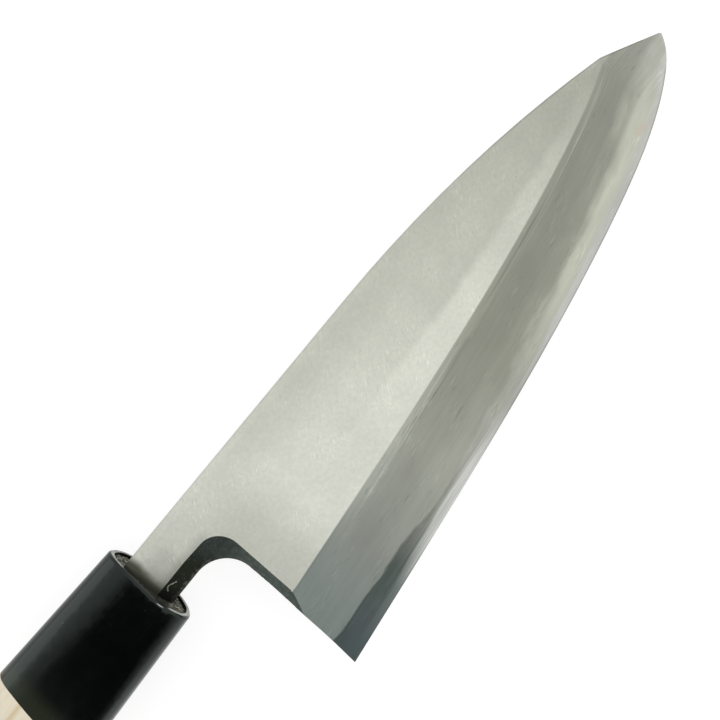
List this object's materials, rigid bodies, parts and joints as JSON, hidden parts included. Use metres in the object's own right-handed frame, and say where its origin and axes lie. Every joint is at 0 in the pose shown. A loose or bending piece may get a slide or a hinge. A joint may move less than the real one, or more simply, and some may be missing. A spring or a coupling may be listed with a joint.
{
  "type": "deba knife",
  "caption": "Right-handed deba kitchen knife: thick single-bevel blade of soft iron and hard steel, black ferrule and wooden handle with a ridge.",
  "frame": {"origin": "under the middle of the knife's box, at the height of the handle's lowest point, with the knife on its side", "axes": "+X along the blade to the tip, +Y towards the spine, +Z out of the bevelled front face of the blade"},
  "size_m": [0.3079, 0.0622, 0.0216],
  "materials": {
    "soft_iron": "satin, ground by hand",
    "hard_steel": "satin, sharpened on stones",
    "black_ferrule": "black, half gloss",
    "handle_wood": "pale, sanded and unsealed",
    "resin": "rough filler"
  },
  "bodies": {
    "root": {"blade_iron": "soft_iron", "cutting_steel": "hard_steel", "ferrule": "black_ferrule", "wood_handle": "handle_wood", "mouth_seal": "resin"}
  },
  "joints": []
}
